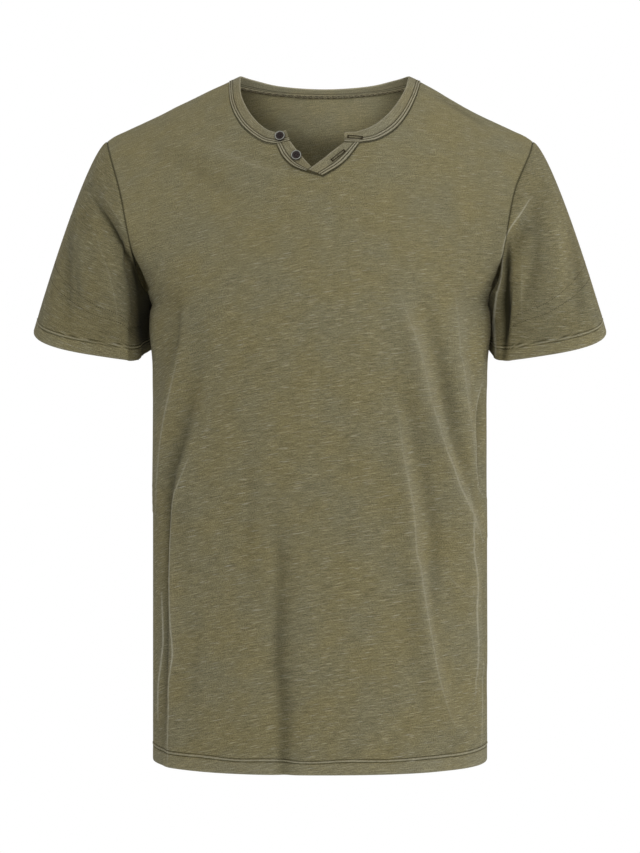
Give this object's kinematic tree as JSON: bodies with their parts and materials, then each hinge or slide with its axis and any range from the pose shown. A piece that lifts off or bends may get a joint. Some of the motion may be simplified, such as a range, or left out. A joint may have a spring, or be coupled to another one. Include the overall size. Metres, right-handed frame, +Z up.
{
  "type": "v-neck t-shirt",
  "caption": "Short-sleeved jersey t-shirt with a small notched v-neck, a buttoned notch and a folded hem, hollow and filled out as worn.",
  "frame": {"origin": "midway between the two points where the shoulders meet the neckband, where a wearer's shoulders carry it", "axes": "+X to the wearer's left, -Y out of the front, +Z up"},
  "size_m": [0.596, 0.245, 0.7089],
  "materials": {
    "jersey": "matt garment-dyed slub jersey",
    "binding": "matt jersey, two layers, worn along its seams",
    "button": "smoky horn look, satin rim",
    "thread": "dark brown cotton sewing thread"
  },
  "bodies": {
    "root": {"front": "jersey", "back": "jersey", "sleeve_right": "jersey", "sleeve_left": "jersey", "neckband": "binding", "button_strip": "binding", "buttonhole_strip": "binding", "button_upper": "button", "button_lower": "button"}
  },
  "joints": []
}
